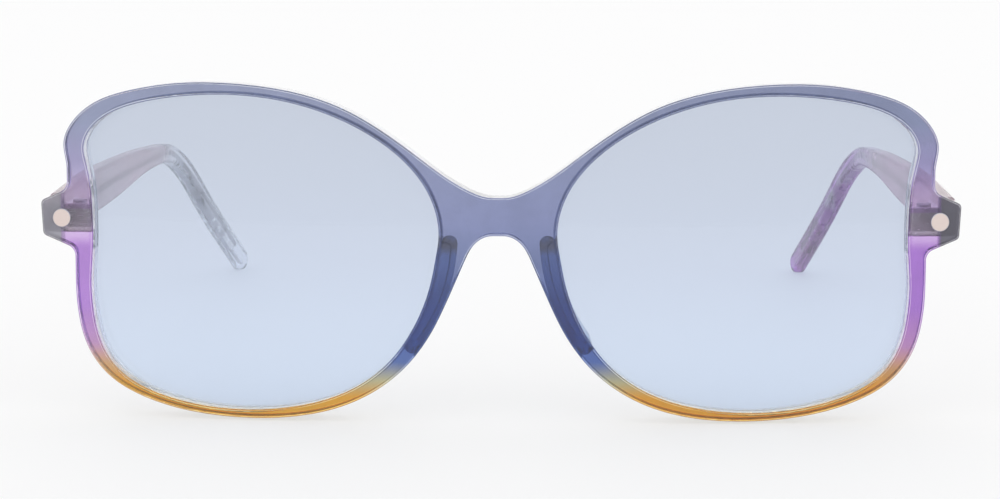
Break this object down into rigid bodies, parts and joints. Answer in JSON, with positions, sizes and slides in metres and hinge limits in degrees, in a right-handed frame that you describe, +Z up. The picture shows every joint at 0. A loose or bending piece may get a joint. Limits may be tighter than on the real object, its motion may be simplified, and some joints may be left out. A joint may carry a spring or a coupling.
{
  "type": "butterfly sunglasses",
  "caption": "Oversized butterfly sunglasses with a bent translucent acetate front, gradient lenses, riveted end pieces and slim folding temples.",
  "frame": {"origin": "floor level under the middle of the open glasses' bounding box", "axes": "+X to the wearer's left, the front faces -Y, the temples run back along +Y, +Z up"},
  "size_m": [0.1472, 0.1356, 0.054],
  "materials": {
    "front_acetate": "polished translucent acetate, blue-violet above to amber below",
    "pad_acetate": "polished translucent acetate",
    "block_acetate": "polished translucent acetate",
    "lens_tint": "polished, pale grey-blue gradient tint",
    "temple_acetate_left": "polished translucent acetate",
    "temple_acetate_right": "polished translucent acetate, clear at the tip",
    "rivet_metal": "satin rose silver",
    "hinge_metal": "satin nickel silver",
    "screw_metal": "satin steel",
    "core_metal": "drawn nickel silver wire"
  },
  "bodies": {
    "front": {"front": "front_acetate", "lens_left": "lens_tint", "nose_pad_left": "pad_acetate", "end_block_left": "block_acetate", "front_rivet_left": "rivet_metal", "front_hinge_leaf_left": "hinge_metal", "hinge_screw_left": "screw_metal", "lens_right": "lens_tint", "nose_pad_right": "pad_acetate", "end_block_right": "block_acetate", "front_rivet_right": "rivet_metal", "front_hinge_leaf_right": "hinge_metal", "hinge_screw_right": "screw_metal"},
    "temple_left": {"temple_left": "temple_acetate_left", "core_wire_left": "core_metal", "temple_hinge_leaf_left": "hinge_metal"},
    "temple_right": {"temple_right": "temple_acetate_right", "core_wire_right": "core_metal", "temple_hinge_leaf_right": "hinge_metal"}
  },
  "joints": [
    {"name": "temple_left_fold", "type": "hinge", "parent": "front", "child": "temple_left", "pos_m": [0.0682, -0.05434, 0.0316], "axis": [0, 0, 1], "range_deg": [0, 87]},
    {"name": "temple_right_fold", "type": "hinge", "parent": "front", "child": "temple_right", "pos_m": [-0.0682, -0.05434, 0.0316], "axis": [0, 0, -1], "range_deg": [0, 81]}
  ]
}
